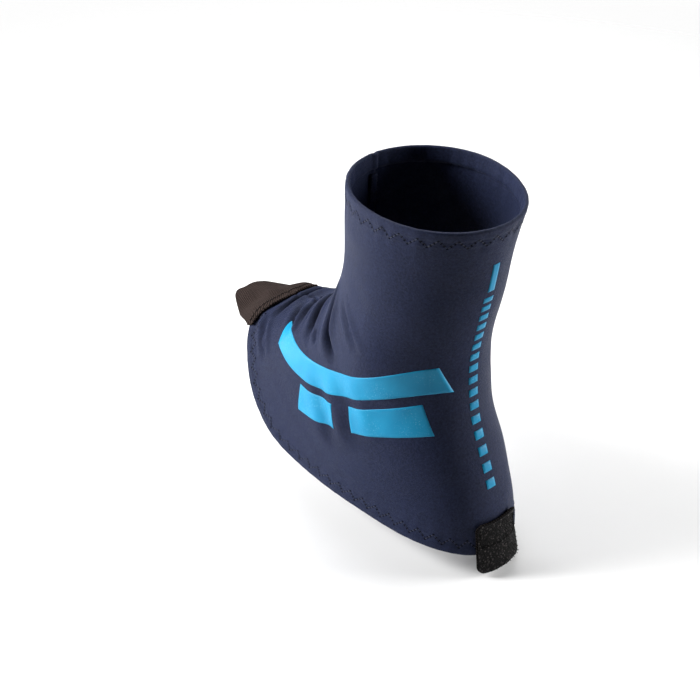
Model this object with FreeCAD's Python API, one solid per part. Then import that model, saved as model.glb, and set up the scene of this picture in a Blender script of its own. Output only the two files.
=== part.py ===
import FreeCAD, Part
import math
import os

# A stretch-knit running gaiter for the left foot, in the shape it has when worn over a shoe.
# Millimetres, +Z up, toe towards -Y, outer side of the foot towards +X.
# The origin is the centre of the leg opening, in the plane of the top rim.

# ---- driving dimensions -------------------------------------------------------------------
# The sleeve is a stack of rings, from the top rim (0) to the lower hem (1).
STATIONS = [0.00, 0.20, 0.40, 0.55, 0.70, 0.85, 1.00]
BACK_Y = [41, 37, 33, 31, 36, 49, 57]
BACK_Z = [0, -26, -52, -75, -101, -131, -162]
FRONT_Y = [-40, -41, -43, -49, -64, -81, -100]
FRONT_Z = [0, -24, -49, -70, -86, -95, -102]
SIDE_Y = [0, -2, -4, -8, -14, -20, -24]
SIDE_Z = [0, -28, -59, -84, -110, -134, -155]
HALF_WIDTH = [35.6, 35, 34.5, 35, 37, 38, 38]
MIDDLE_X = [0, 0, 1, 2, 3, 3.5, 4]
# Exponents of the ring's quarter curves: 1 is an ellipse, less is boxier.
BACK_POWER = [1.0, 1.1, 1.15, 1.15, 1.05, 0.95, 0.9]
BACK_DROP = 1.8
WIDEN_POWER = [1.0, 1.0, 1.0, 0.9, 0.75, 0.6, 0.5]
REACH_POWER = [1.0, 1.0, 1.0, 0.9, 0.7, 0.52, 0.42]
RISE_POWER = [1.8, 1.8, 1.8, 1.8, 1.7, 1.6, 1.6]

FABRIC = 0.6            # knit fabric thickness
HEM_DEPTH = 8.0         # width of the turned hem
HEM_LIP = 0.6           # fabric thickness where the hem folds over the edge
ELASTIC_WIDTH = 5.5
ELASTIC_THICK = 0.6
LAYER_GAP = 0.06        # air between two layers that lie on each other
LEG_END = 0.36          # where the leg fabric gives way to the ankle fabric
FOOT_START = 0.50       # where the ankle fabric gives way to the foot fabric
JOINT_GAP = 0.003       # gap, in stations, where two bodies meet

STITCH_FROM_EDGE = 6.2  # middle of the zigzag seam
ZIGZAG_HALF = 1.5
ZIGZAG_PITCH = 7.0
THREAD_RADIUS = 0.25
THREAD_LIFT = 0.38

SEAM_WIDTH = 4.0        # seam allowance at the centre front, inside the sleeve
SEAM_THICK = 1.2
SEAM_GAP = 0.15

PRINT_LOW = 0.20
PRINT_HIGH = 0.40
STRIPE_SLANT = 0.09
LONG_STRIPE = ((0.425, 0.80), (0.24, 0.52), (0.055, 0.56))
LONG_STRIPE_WIDTH = 0.078
SIDE_BLOCKS = ((0.325, 0.775), (0.20, 0.66), (0.075, 0.665))
SIDE_BLOCK_WIDTH = 0.085

TAPE_THICK = 0.9        # woven tape of the hook tabs
HOOKS_THICK = 1.1       # moulded hooks and their base
FRONT_TAB_LENGTH = 29.0
FRONT_TAB_HALF_BASE = 21.0
FRONT_TAB_HALF_TIP = 10.0
FRONT_TAB_SIDE = 6.0    # how far its base sits to the outer side of the centre
FRONT_TAB_CORNER = 2.5
FRONT_TAB_SLOPE = 17.0  # degrees down towards the toe
FRONT_TAB_ARCH = 34.0   # radius over the instep
FRONT_TAB_SEWN = (2.0, 9.5)
HEEL_TAB_HALF = 12.5
HEEL_TAB_SEWN = (3.0, 17.0)
HEEL_TAB_BELOW = 9.0
HEEL_TAB_CORNER = 3.0
SEWN_LIFT = 0.7         # the tabs lie over the hem's stitches
STEPS_AROUND = 72
QUARTER_STEPS = 60

os.makedirs("parts", exist_ok=True)


# ---- the sleeve's surface -----------------------------------------------------------------
def along(values, v):
    """Smooth value between the stations."""
    last = len(STATIONS) - 2
    i = min(max(sum(v >= s for s in STATIONS) - 1, 0), last)
    widths = [STATIONS[k + 1] - STATIONS[k] for k in range(last + 1)]
    slopes = [(values[k + 1] - values[k]) / widths[k] for k in range(last + 1)]
    tangents = [slopes[0]]
    for k in range(1, last + 1):
        mixed = slopes[k - 1] * widths[k] + slopes[k] * widths[k - 1]
        tangents.append(mixed / (widths[k - 1] + widths[k]))
    tangents.append(slopes[-1])
    h = widths[i]
    s = (v - STATIONS[i]) / h
    return (
        (2 * s**3 - 3 * s**2 + 1) * values[i]
        + (s**3 - 2 * s**2 + s) * h * tangents[i]
        + (3 * s**2 - 2 * s**3) * values[i + 1]
        + (s**3 - s**2) * h * tangents[i + 1]
    )


def outline(v):
    """One ring as a dense closed polygon: back, outer side, front, inner side."""
    side_y, side_z = along(SIDE_Y, v), along(SIDE_Z, v)
    back_y, back_z = along(BACK_Y, v) - side_y, along(BACK_Z, v) - side_z
    front_y, front_z = along(FRONT_Y, v) - side_y, along(FRONT_Z, v) - side_z
    width, middle = along(HALF_WIDTH, v), along(MIDDLE_X, v)
    back_power = along(BACK_POWER, v)
    widen, reach, rise = along(WIDEN_POWER, v), along(REACH_POWER, v), along(RISE_POWER, v)
    half = []
    for i in range(QUARTER_STEPS + 1):
        angle = math.pi / 2 * i / QUARTER_STEPS
        sine, cosine = math.sin(angle), max(math.cos(angle), 0.0)
        half.append(
            (
                width * sine**back_power,
                side_y + back_y * cosine**back_power,
                side_z + back_z * cosine**BACK_DROP,
            )
        )
    for i in range(1, QUARTER_STEPS + 1):
        forward = math.sin(math.pi / 2 * i / QUARTER_STEPS)
        cosine = forward ** (1 / reach)
        sine = math.sqrt(max(1 - cosine**2, 0.0))
        half.append(
            (
                width * sine**widen,
                side_y + front_y * forward,
                side_z + front_z * cosine**rise,
            )
        )
    outer = [(middle + x, y, z) for x, y, z in half]
    inner = [(middle - x, y, z) for x, y, z in half[-2:0:-1]]
    return [FreeCAD.Vector(*p) for p in outer + inner]


RINGS = {}


def ring(v):
    """The ring's points and the running length at each of them."""
    key = round(v, 6)
    if key not in RINGS:
        points = outline(v)
        lengths = [0.0]
        for a, b in zip(points, points[1:] + points[:1]):
            lengths.append(lengths[-1] + a.distanceToPoint(b))
        RINGS[key] = (points, lengths)
    return RINGS[key]


def on_ring(u, v):
    """Point at the fraction u of the ring's length: 0 back, 0.25 outer side, 0.5 front."""
    points, lengths = ring(v)
    want = (u % 1.0) * lengths[-1]
    low, high = 0, len(points)
    while high - low > 1:
        mid = (low + high) // 2
        if lengths[mid] <= want:
            low = mid
        else:
            high = mid
    a, b = points[low], points[(low + 1) % len(points)]
    share = (want - lengths[low]) / (lengths[low + 1] - lengths[low])
    return a + (b - a) * share


def outward(u, v):
    """Unit normal of the sleeve, pointing away from the leg."""
    du, dv = 0.006, 0.01
    low, high = max(v - dv, 0.0), min(v + dv, 1.0)
    around = on_ring(u + du, v) - on_ring(u - du, v)
    down = on_ring(u, high) - on_ring(u, low)
    return around.cross(down).normalize()


def on_sleeve(u, v, lift=0.0):
    """Point of the outer surface, moved out by lift."""
    return on_ring(u, v) + outward(u, v) * lift


def from_edge(u, distance, lower):
    """The v that lies a distance in from the lower hem, or from the top rim."""
    step = 0.004
    v, gone = (1.0, 0.0) if lower else (0.0, 0.0)
    here = on_ring(u, v)
    while True:
        further = v - step if lower else v + step
        there = on_ring(u, further)
        length = here.distanceToPoint(there)
        if gone + length >= distance:
            share = (distance - gone) / length
            return v + (further - v) * share
        v, gone, here = further, gone + length, there


# ---- solids -------------------------------------------------------------------------------
def sewn_solid(faces):
    """A closed solid from faces that share their edges."""
    shell = Part.makeShell(faces)
    shell.sewShape()
    solid = Part.makeSolid(shell)
    if solid.Volume < 0:
        solid.reverse()
    return solid


def closed_band(rows):
    """A solid swept round the sleeve: each row is one corner of its section."""
    edges = []
    for row in rows:
        points = [row(0.5 + k / STEPS_AROUND) for k in range(STEPS_AROUND)]
        curve = Part.BSplineCurve()
        curve.interpolate(Points=points, PeriodicFlag=True)
        edges.append(curve.toShape())
    faces = []
    for a, b in zip(edges, edges[1:] + edges[:1]):
        faces.append(Part.makeRuledSurface(a, b))
    return sewn_solid(faces)


def slab(top, bottom):
    """A solid between two grids of points with the same number of rows and columns."""
    surfaces = []
    for grid in (top, bottom):
        surface = Part.BSplineSurface()
        surface.interpolate(grid)
        surfaces.append(surface)
    borders = []
    for surface in surfaces:
        u0, u1, v0, v1 = surface.bounds()
        curves = [surface.uIso(u0), surface.uIso(u1), surface.vIso(v0), surface.vIso(v1)]
        borders.append([curve.toShape() for curve in curves])
    faces = [surface.toShape() for surface in surfaces]
    faces += [Part.makeRuledSurface(a, b) for a, b in zip(*borders)]
    return sewn_solid(faces)


def even(low, high, count):
    """Evenly spaced values with both ends."""
    return [low + (high - low) * k / (count - 1) for k in range(count)]


def patch(place, across, down, low, high):
    """A slab on the sleeve; place(s, t) gives its (u, v) for s and t from 0 to 1."""
    grids = []
    for lift in (high, low):
        rows = []
        for s in even(0, 1, across):
            rows.append([on_sleeve(*place(s, t), lift) for t in even(0, 1, down)])
        grids.append(rows)
    return slab(*grids)


def thread(points):
    """Straight stitches from point to point, as separate rods."""
    rods = []
    for a, b in zip(points, points[1:]):
        gap = (b - a) * 0.04
        start, stop = a + gap, b - gap
        length = start.distanceToPoint(stop)
        rods.append(Part.makeCylinder(THREAD_RADIUS, length, start, stop - start))
    return rods


def save(name, solids):
    """One node: a single solid or a group of separate ones."""
    solids = solids if isinstance(solids, list) else [solids]
    for solid in solids:
        if not solid.isValid() or solid.Volume <= 0:
            raise ValueError(name + " has a bad solid")
    shape = solids[0] if len(solids) == 1 else Part.makeCompound(solids)
    shape.exportStep("parts/" + name + ".step")
    print(name, len(solids), "solids", round(sum(s.Volume for s in solids), 1), "mm3")


# ---- fabric -------------------------------------------------------------------------------
def row_at(v, lift):
    return lambda u: on_sleeve(u, v, lift)


def row_from_edge(distance, lift, lower):
    return lambda u: on_sleeve(u, from_edge(u, distance, lower), lift)


def fabric_zone(start, stop, rows, top_edge=0.0, lower_edge=0.0):
    """Fabric between two stations; an edge value trims it back from the rim or the hem."""
    outer, inner = [], []
    for v in even(start, stop, rows):
        if v <= 0:
            outer.append(row_from_edge(top_edge, 0.0, False))
            inner.append(row_from_edge(top_edge, -FABRIC, False))
        elif v >= 1:
            outer.append(row_from_edge(lower_edge, 0.0, True))
            inner.append(row_from_edge(lower_edge, -FABRIC, True))
        else:
            outer.append(row_at(v, 0.0))
            inner.append(row_at(v, -FABRIC))
    return closed_band(outer + inner[::-1])


def hem(lower):
    """The turned edge: a lip over the fabric's end and the layer that lies inside."""
    inside = -(FABRIC + ELASTIC_THICK + 2 * LAYER_GAP)
    corners = [
        (0.0, 0.0),
        (HEM_LIP, 0.0),
        (HEM_LIP, inside),
        (HEM_DEPTH, inside),
        (HEM_DEPTH, inside - FABRIC),
        (0.0, inside - FABRIC),
    ]
    return closed_band([row_from_edge(d, lift, lower) for d, lift in corners])


def hem_elastic(lower):
    """Flat elastic between the fabric and the turned layer."""
    top = -(FABRIC + LAYER_GAP)
    near = HEM_LIP + LAYER_GAP
    corners = [
        (near, top),
        (near + ELASTIC_WIDTH, top),
        (near + ELASTIC_WIDTH, top - ELASTIC_THICK),
        (near, top - ELASTIC_THICK),
    ]
    return closed_band([row_from_edge(d, lift, lower) for d, lift in corners])


def zigzag(lower):
    """The zigzag seam that holds the hem, one rod for each diagonal."""
    v_edge = 1.0 if lower else 0.0
    length = ring(v_edge)[1][-1]
    teeth = int(length / ZIGZAG_PITCH)
    points = []
    for k in range(2 * teeth + 1):
        u = k / (2 * teeth)
        side = ZIGZAG_HALF if k % 2 else -ZIGZAG_HALF
        v = from_edge(u, STITCH_FROM_EDGE + side, lower)
        points.append(on_sleeve(u, v, THREAD_LIFT))
    return thread(points)


def front_seam(start, stop):
    """The pressed seam allowance along the centre front, inside the sleeve."""
    high = -(FABRIC + SEAM_GAP)
    low = high - SEAM_THICK

    def place(s, t):
        v = start + (stop - start) * t
        half = SEAM_WIDTH / 2 / ring(v)[1][-1]
        return 0.5 + (2 * s - 1) * half, v

    return patch(place, 4, 16, low, high)


# ---- prints -------------------------------------------------------------------------------
def stripe(s_low, s_high, path, width):
    """A slanted bar on the side, between two shares of a sagging path of (u, v) places."""
    (u0, v0), (u1, v1), (u2, v2) = path

    def place(s, t):
        share = s_low + (s_high - s_low) * s + STRIPE_SLANT * (t - 0.5)
        first, middle, last = (1 - share) ** 2, 2 * share * (1 - share), share**2
        u = first * u0 + middle * u1 + last * u2
        v = first * v0 + middle * v1 + last * v2
        return u, v + width * (t - 0.5)

    return patch(place, 25, 5, PRINT_LOW, PRINT_HIGH)


def back_bar(v, height, half_width):
    """A small bar printed across the centre back."""

    def place(s, t):
        half = half_width / ring(v)[1][-1]
        return (2 * s - 1) * half, v + height * (t - 0.5)

    return patch(place, 4, 4, PRINT_LOW, PRINT_HIGH)


# ---- hook tabs ----------------------------------------------------------------------------
HINGE_Y = FRONT_Y[-1] - 1.4
HINGE_Z = FRONT_Z[-1] - 0.4


def front_tab_layer(top, thick):
    """One layer of the front tab's free part, arched over the instep."""
    slope = math.radians(FRONT_TAB_SLOPE)
    grids = []
    for depth in (top, top + thick):
        rows = []
        for s in even(0, 1, 9):
            half = FRONT_TAB_HALF_BASE + (FRONT_TAB_HALF_TIP - FRONT_TAB_HALF_BASE) * s
            to_tip = (1 - s) * FRONT_TAB_LENGTH
            if to_tip < FRONT_TAB_CORNER:
                over = 1 - to_tip / FRONT_TAB_CORNER
                half -= FRONT_TAB_CORNER * (1 - math.sqrt(1 - over**2))
            row = []
            side = FRONT_TAB_SIDE * (1 - s)
            for x in even(side - half, side + half, 9):
                bow = x**2 / (2 * FRONT_TAB_ARCH)
                back = 0.45 * bow * (1 - s)
                along_tab = s * FRONT_TAB_LENGTH
                y = HINGE_Y - along_tab * math.cos(slope) + back
                z = HINGE_Z - along_tab * math.sin(slope) - bow - depth
                row.append(FreeCAD.Vector(MIDDLE_X[-1] + x, y, z))
            rows.append(row)
        grids.append(rows)
    return slab(*grids)


def front_tab_sewn_end():
    """The end of the tape that is sewn down on the front hem."""

    def place(s, t):
        distance = FRONT_TAB_SEWN[0] + (FRONT_TAB_SEWN[1] - FRONT_TAB_SEWN[0]) * t
        x = FRONT_TAB_SIDE + (1 - 2 * s) * (FRONT_TAB_HALF_BASE + 1)
        u = 0.5 - x / ring(1.0)[1][-1]
        return u, from_edge(u, distance, True)

    return patch(place, 11, 4, SEWN_LIFT, SEWN_LIFT + TAPE_THICK)


def front_tab_stitches():
    """Two straight rows of stitches through the sewn end."""
    rods = []
    girth = ring(1.0)[1][-1]
    ends = [FRONT_TAB_SIDE + side * (FRONT_TAB_HALF_BASE - 1) for side in (1, -1)]
    lift = SEWN_LIFT + TAPE_THICK + THREAD_LIFT
    for distance in (FRONT_TAB_SEWN[0] + 1.5, FRONT_TAB_SEWN[1] - 1.5):
        points = []
        for u in even(0.5 - ends[0] / girth, 0.5 - ends[1] / girth, 17):
            points.append(on_sleeve(u, from_edge(u, distance, True), lift))
        rods += thread(points)
    return rods


def heel_tab_sewn(low, high):
    """One layer of the heel tab's upper part, sewn on the outside of the rear hem."""

    def place(s, t):
        half = HEEL_TAB_HALF / ring(1.0)[1][-1]
        u = (2 * s - 1) * half
        return u, from_edge(u, HEEL_TAB_SEWN[0] + (HEEL_TAB_SEWN[1] - HEEL_TAB_SEWN[0]) * t, True)

    return patch(place, 11, 5, low, high)


def heel_tab_free(low, high):
    """One layer of the heel tab's free lower part, which hangs below the hem."""
    top = HEEL_TAB_SEWN[0] - 0.5
    grids = []
    for lift in (high, low):
        rows = []
        for s in even(-1, 1, 11):
            column = []
            for t in even(0, 1, 6):
                drop = t * (top + HEEL_TAB_BELOW)
                to_tip = (1 - t) * (top + HEEL_TAB_BELOW)
                half = HEEL_TAB_HALF
                if to_tip < HEEL_TAB_CORNER:
                    over = 1 - to_tip / HEEL_TAB_CORNER
                    half -= HEEL_TAB_CORNER * (1 - math.sqrt(1 - over**2))
                u = s * half / ring(1.0)[1][-1]
                if drop < top:
                    column.append(on_sleeve(u, from_edge(u, top - drop, True), lift))
                else:
                    down = (on_ring(u, 1.0) - on_ring(u, 0.97)).normalize()
                    column.append(on_sleeve(u, 1.0, lift) + down * (drop - top))
            rows.append(column)
        grids.append(rows)
    return slab(*grids)


def heel_tab_stitches():
    """A rectangle of stitches round the heel tab's sewn part."""
    half = (HEEL_TAB_HALF - 2) / ring(1.0)[1][-1]
    low, high = HEEL_TAB_SEWN[0] + 1.5, HEEL_TAB_SEWN[1] - 1.5
    lift = SEWN_LIFT + TAPE_THICK + LAYER_GAP + HOOKS_THICK + THREAD_LIFT
    rods = []
    for distance in (low, high):
        points = [on_sleeve(u, from_edge(u, distance, True), lift) for u in even(-half, half, 9)]
        rods += thread(points)
    for u in (-half, half):
        points = []
        for distance in even(low + 0.8, high - 0.8, 4):
            points.append(on_sleeve(u, from_edge(u, distance, True), lift))
        rods += thread(points)
    return rods


# ---- the pieces ---------------------------------------------------------------------------
save("leg_fabric", fabric_zone(0.0, LEG_END, 9, top_edge=HEM_LIP + LAYER_GAP))
save("ankle_fabric", fabric_zone(LEG_END + JOINT_GAP, FOOT_START - JOINT_GAP, 5))
save("foot_fabric", fabric_zone(FOOT_START, 1.0, 15, lower_edge=HEM_LIP + LAYER_GAP))

for word, is_lower in (("top", False), ("lower", True)):
    save(word + "_hem", hem(is_lower))
    save(word + "_elastic", hem_elastic(is_lower))
    save(word + "_hem_zigzag", zigzag(is_lower))

save("front_seam_leg", front_seam(0.09, LEG_END - JOINT_GAP))
save("front_seam_ankle", front_seam(LEG_END + JOINT_GAP, FOOT_START - JOINT_GAP))
save("front_seam_foot", front_seam(FOOT_START + JOINT_GAP, 0.90))

save("side_stripe", stripe(0.0, 1.0, LONG_STRIPE, LONG_STRIPE_WIDTH))
save(
    "side_blocks",
    [
        stripe(0.02, 0.32, SIDE_BLOCKS, SIDE_BLOCK_WIDTH),
        stripe(0.44, 0.98, SIDE_BLOCKS, SIDE_BLOCK_WIDTH),
    ],
)

BACK_BARS = even(0.30, 0.84, 16)
GROUPS = {"leg": [], "ankle": [], "foot": []}
for v_bar in BACK_BARS:
    zone = "leg" if v_bar < LEG_END - 0.02 else "foot" if v_bar > FOOT_START + 0.02 else "ankle"
    if min(abs(v_bar - LEG_END), abs(v_bar - FOOT_START)) > 0.012:
        GROUPS[zone].append(back_bar(v_bar, 0.02, 2.6))
GROUPS["leg"].append(back_bar(0.21, 0.11, 1.8))
for zone, bars in GROUPS.items():
    save("back_bars_" + zone, bars)

save("front_tab_sewn_end", front_tab_sewn_end())
save("front_tab_tape", front_tab_layer(-TAPE_THICK / 2, TAPE_THICK))
save("front_tab_hooks", front_tab_layer(TAPE_THICK / 2 + LAYER_GAP, HOOKS_THICK))
save("front_tab_stitches", front_tab_stitches())

HOOKS_LOW = SEWN_LIFT + TAPE_THICK + LAYER_GAP
save("heel_tab_sewn_tape", heel_tab_sewn(SEWN_LIFT, SEWN_LIFT + TAPE_THICK))
save("heel_tab_sewn_hooks", heel_tab_sewn(HOOKS_LOW, HOOKS_LOW + HOOKS_THICK))
save("heel_tab_tape", heel_tab_free(SEWN_LIFT, SEWN_LIFT + TAPE_THICK))
save("heel_tab_hooks", heel_tab_free(HOOKS_LOW, HOOKS_LOW + HOOKS_THICK))
save("heel_tab_stitches", heel_tab_stitches())
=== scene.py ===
"""A stretch-knit running gaiter, in the shape it has when worn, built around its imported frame."""

import math

import bpy
import numpy as np
from mathutils import Matrix, Vector

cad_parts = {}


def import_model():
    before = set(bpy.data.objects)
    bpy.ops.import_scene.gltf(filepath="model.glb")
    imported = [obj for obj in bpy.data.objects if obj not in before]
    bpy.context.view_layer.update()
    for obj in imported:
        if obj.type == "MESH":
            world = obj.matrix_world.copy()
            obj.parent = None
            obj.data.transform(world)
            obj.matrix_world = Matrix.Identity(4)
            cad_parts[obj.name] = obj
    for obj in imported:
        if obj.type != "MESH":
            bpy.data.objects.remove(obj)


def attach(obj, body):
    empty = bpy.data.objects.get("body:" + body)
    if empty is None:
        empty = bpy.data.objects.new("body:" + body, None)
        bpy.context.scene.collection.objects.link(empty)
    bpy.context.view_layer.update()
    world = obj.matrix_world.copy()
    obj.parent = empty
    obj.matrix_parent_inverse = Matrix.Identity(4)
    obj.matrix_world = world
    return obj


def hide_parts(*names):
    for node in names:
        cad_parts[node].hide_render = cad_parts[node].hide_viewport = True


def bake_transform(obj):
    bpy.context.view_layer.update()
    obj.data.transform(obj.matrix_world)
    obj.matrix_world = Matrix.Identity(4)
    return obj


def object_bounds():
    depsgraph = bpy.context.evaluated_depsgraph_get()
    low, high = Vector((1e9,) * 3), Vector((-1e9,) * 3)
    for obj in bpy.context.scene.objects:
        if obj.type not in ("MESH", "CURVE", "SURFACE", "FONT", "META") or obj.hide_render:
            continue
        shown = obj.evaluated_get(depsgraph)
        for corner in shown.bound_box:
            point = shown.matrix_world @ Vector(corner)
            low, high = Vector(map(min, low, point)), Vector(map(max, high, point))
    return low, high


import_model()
CAD_LOW, CAD_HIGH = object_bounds()

scene = bpy.context.scene
MM = 0.001

# ---- driving dimensions, in millimetres ----
# The sleeve is a stack of rings, from the top rim (0) to the lower hem (1).
STATIONS = np.array([0.00, 0.20, 0.40, 0.55, 0.70, 0.85, 1.00])
BACK_Y = [41, 37, 33, 31, 36, 49, 57]
BACK_Z = [0, -26, -52, -75, -101, -131, -162]
FRONT_Y = [-40, -41, -43, -49, -64, -81, -100]
FRONT_Z = [0, -24, -49, -70, -86, -95, -102]
SIDE_Y = [0, -2, -4, -8, -14, -20, -24]
SIDE_Z = [0, -28, -59, -84, -110, -134, -155]
HALF_WIDTH = [35.6, 35, 34.5, 35, 37, 38, 38]
MIDDLE_X = [0, 0, 1, 2, 3, 3.5, 4]
BACK_POWER = [1.0, 1.1, 1.15, 1.15, 1.05, 0.95, 0.9]
BACK_DROP = 1.8
WIDEN_POWER = [1.0, 1.0, 1.0, 0.9, 0.75, 0.6, 0.5]
REACH_POWER = [1.0, 1.0, 1.0, 0.9, 0.7, 0.52, 0.42]
RISE_POWER = [1.8, 1.8, 1.8, 1.8, 1.7, 1.6, 1.6]

# Rows and columns of the surface tables, and steps in a quarter of the outline.
ROWS = 401
COLUMNS = 960
QUARTER = 90

FABRIC = 0.6
FOLD_OUTER = 0.96       # radius of the outer face where the hem is turned
FOLD_INNER = 0.36       # radius of the inner face there
HEM_DEPTH = 8.0         # from the edge to the raw end of the turned cloth
STITCH_FROM_EDGE = 6.0
ZIGZAG_HALF = 1.9
ZIGZAG_PITCH = 8.0
STITCHES_PER_TOOTH = 6  # three short stitches down, three up


def smooth(x):
    """Smooth step from 0 to 1."""
    x = np.clip(x, 0.0, 1.0)
    return x * x * (3 - 2 * x)


def unit(vectors):
    return vectors / np.maximum(np.linalg.norm(vectors, axis=-1, keepdims=True), 1e-12)


def run(points, axis):
    """How far each point of a grid lies from the first one along that axis."""
    steps = np.diff(points, axis=axis, prepend=points.take([0], axis=axis))
    return np.cumsum(np.linalg.norm(steps, axis=-1), axis=axis)


# ---- the sleeve's surface ----
def along(values, v):
    """Smooth value between the stations."""
    values = np.asarray(values, float)
    widths = np.diff(STATIONS)
    slopes = np.diff(values) / widths
    mixed = slopes[:-1] * widths[1:] + slopes[1:] * widths[:-1]
    tangents = np.r_[slopes[:1], mixed / (widths[:-1] + widths[1:]), slopes[-1:]]
    i = np.clip(np.searchsorted(STATIONS, v, side="right") - 1, 0, len(widths) - 1)
    h = widths[i]
    s = (v - STATIONS[i]) / h
    return (
        (2 * s**3 - 3 * s**2 + 1) * values[i]
        + (s**3 - 2 * s**2 + s) * h * tangents[i]
        + (3 * s**2 - 2 * s**3) * values[i + 1]
        + (s**3 - s**2) * h * tangents[i + 1]
    )


def base_surface():
    """The plain sleeve: points by row and column, and each row's length round the leg."""
    v = np.linspace(0, 1, ROWS)[:, None]
    angle = math.pi / 2 * np.linspace(0, 1, QUARTER + 1)[None, :]
    side_y, side_z = along(SIDE_Y, v), along(SIDE_Z, v)
    back_y, back_z = along(BACK_Y, v) - side_y, along(BACK_Z, v) - side_z
    front_y, front_z = along(FRONT_Y, v) - side_y, along(FRONT_Z, v) - side_z
    width, middle = along(HALF_WIDTH, v), along(MIDDLE_X, v)
    power = along(BACK_POWER, v)
    widen, reach, rise = along(WIDEN_POWER, v), along(REACH_POWER, v), along(RISE_POWER, v)
    sine, cosine = np.sin(angle), np.clip(np.cos(angle), 0, 1)
    back = [width * sine**power, side_y + back_y * cosine**power, side_z + back_z * cosine**BACK_DROP]
    forward = np.sin(angle[:, 1:])
    cosine = forward ** (1 / reach)
    sine = np.sqrt(np.clip(1 - cosine**2, 0, 1))
    front = [width * sine**widen, side_y + front_y * forward, side_z + front_z * cosine**rise]
    x, y, z = [np.concatenate([b, f], axis=1) for b, f in zip(back, front)]
    x = np.concatenate([middle + x, middle - x[:, -2::-1]], axis=1)
    y = np.concatenate([y, y[:, -2::-1]], axis=1)
    z = np.concatenate([z, z[:, -2::-1]], axis=1)
    outline = np.stack([x, y, z], axis=-1)
    gone = run(outline, 1)
    points = np.empty((ROWS, COLUMNS, 3))
    for row in range(ROWS):
        wanted = np.arange(COLUMNS) / COLUMNS * gone[row, -1]
        for axis in range(3):
            points[row, :, axis] = np.interp(wanted, gone[row], outline[row, :, axis])
    return points, gone[:, -1]


def normals_of(points):
    """Unit normals that point away from the leg."""
    around = np.roll(points, -2, axis=1) - np.roll(points, 2, axis=1)
    return unit(np.cross(around, np.gradient(points, axis=0)))


def between(table, row, u):
    """Value of a table between its entries, at a row and a share of the way round."""
    row, column = np.broadcast_arrays(row, (np.asarray(u, float) % 1.0) * COLUMNS)
    i = np.minimum(row.astype(int), len(table) - 2)
    j = column.astype(int) % COLUMNS
    k = (j + 1) % COLUMNS
    s, t = row - i, column - np.floor(column)
    if table.ndim == 3:
        s, t = s[..., None], t[..., None]
    upper = table[i, j] * (1 - t) + table[i, k] * t
    lower = table[i + 1, j] * (1 - t) + table[i + 1, k] * t
    return upper * (1 - s) + lower * s


def sample(table, u, v):
    """Value at u (share of the way round) and v (0 at the top rim, 1 at the lower hem)."""
    return between(table, np.clip(v, 0, 1) * (ROWS - 1), u)


BASE, RING_LENGTH = base_surface()
BASE_NORMALS = normals_of(BASE)
U = np.arange(COLUMNS)[None, :] / COLUMNS
V = np.linspace(0, 1, ROWS)[:, None]
DOWN = run(BASE, 0)
FROM_TOP = DOWN
FROM_HEM = DOWN[-1:] - DOWN


def girth(v):
    """Length round the leg at v."""
    return np.interp(v, V[:, 0], RING_LENGTH)


FOLD_ENDS = 0.38         # share of a crease's length over which each end fades
FULL_SHADE_DEPTH = 4.0   # creases at least this deep get the whole painted shade


def fold(path, width, depth, ridge):
    """A crease along (u, v) places: a valley of that width and depth with a ridge on each side.
    Gives the relief, and the painted shade that darkens each point inside the valley (0 to 1)."""
    path = np.array(path, float)
    knots = np.linspace(0, 1, len(path))
    fine = np.linspace(0, 1, 60)
    window = np.hanning(17)
    padded = [np.pad(np.interp(fine, knots, values), 8, mode="edge") for values in path.T]
    line = sample(BASE, *[np.convolve(values, window / window.sum(), "valid") for values in padded])
    reach = 5 * width
    low, high = line.min(0) - reach, line.max(0) + reach
    near = np.all((BASE > low) & (BASE < high), axis=-1)
    points = BASE[near]
    distances = np.linalg.norm(points[:, None, :] - line, axis=-1)
    nearest = distances.argmin(axis=1)
    share = fine[nearest]
    direction = unit(np.gradient(line, axis=0))[nearest]
    across = np.cross(BASE_NORMALS[near], direction)
    offset = np.einsum("ij,ij->i", points - line[nearest], across)
    distance = distances.min(axis=1)
    signed = np.where(offset < 0, -distance, distance) / width
    strength = smooth(share / FOLD_ENDS) * smooth((1 - share) / FOLD_ENDS)
    crest = np.exp(-((signed - 2.1) ** 2)) + 0.7 * np.exp(-(((signed + 2.1) / 1.2) ** 2))
    result, painted_shade = np.zeros((ROWS, COLUMNS)), np.zeros((ROWS, COLUMNS))
    result[near] = strength * (ridge * crest - depth * np.exp(-np.abs(signed) ** 2.4))
    # Painted shade: strongest along the valley's middle, fading towards the crests and the ends.
    shade = np.sqrt(strength) / (1 + (signed / 1.45) ** 4)
    painted_shade[near] = shade * min(depth / FULL_SHADE_DEPTH, 1.0)
    return result, painted_shade


def bump(u, v, radius, height):
    """A soft round swelling."""
    centre = sample(BASE, np.array(u), np.array(v))
    distance = np.linalg.norm(BASE - centre, axis=-1)
    return height * np.exp(-((distance / radius) ** 2))


def waves(seed, count, shortest, longest, height):
    """Gentle unevenness: a sum of waves in space, always the same for one seed."""
    chance = np.random.default_rng(seed)
    total = np.zeros((ROWS, COLUMNS))
    for _ in range(count):
        direction = unit(chance.normal(size=3))
        length = math.exp(chance.uniform(math.log(shortest), math.log(longest)))
        phase = chance.uniform(0, 2 * math.pi)
        total += np.sin(BASE @ direction * (2 * math.pi / length) + phase)
    return total * height / math.sqrt(count / 2)


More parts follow.
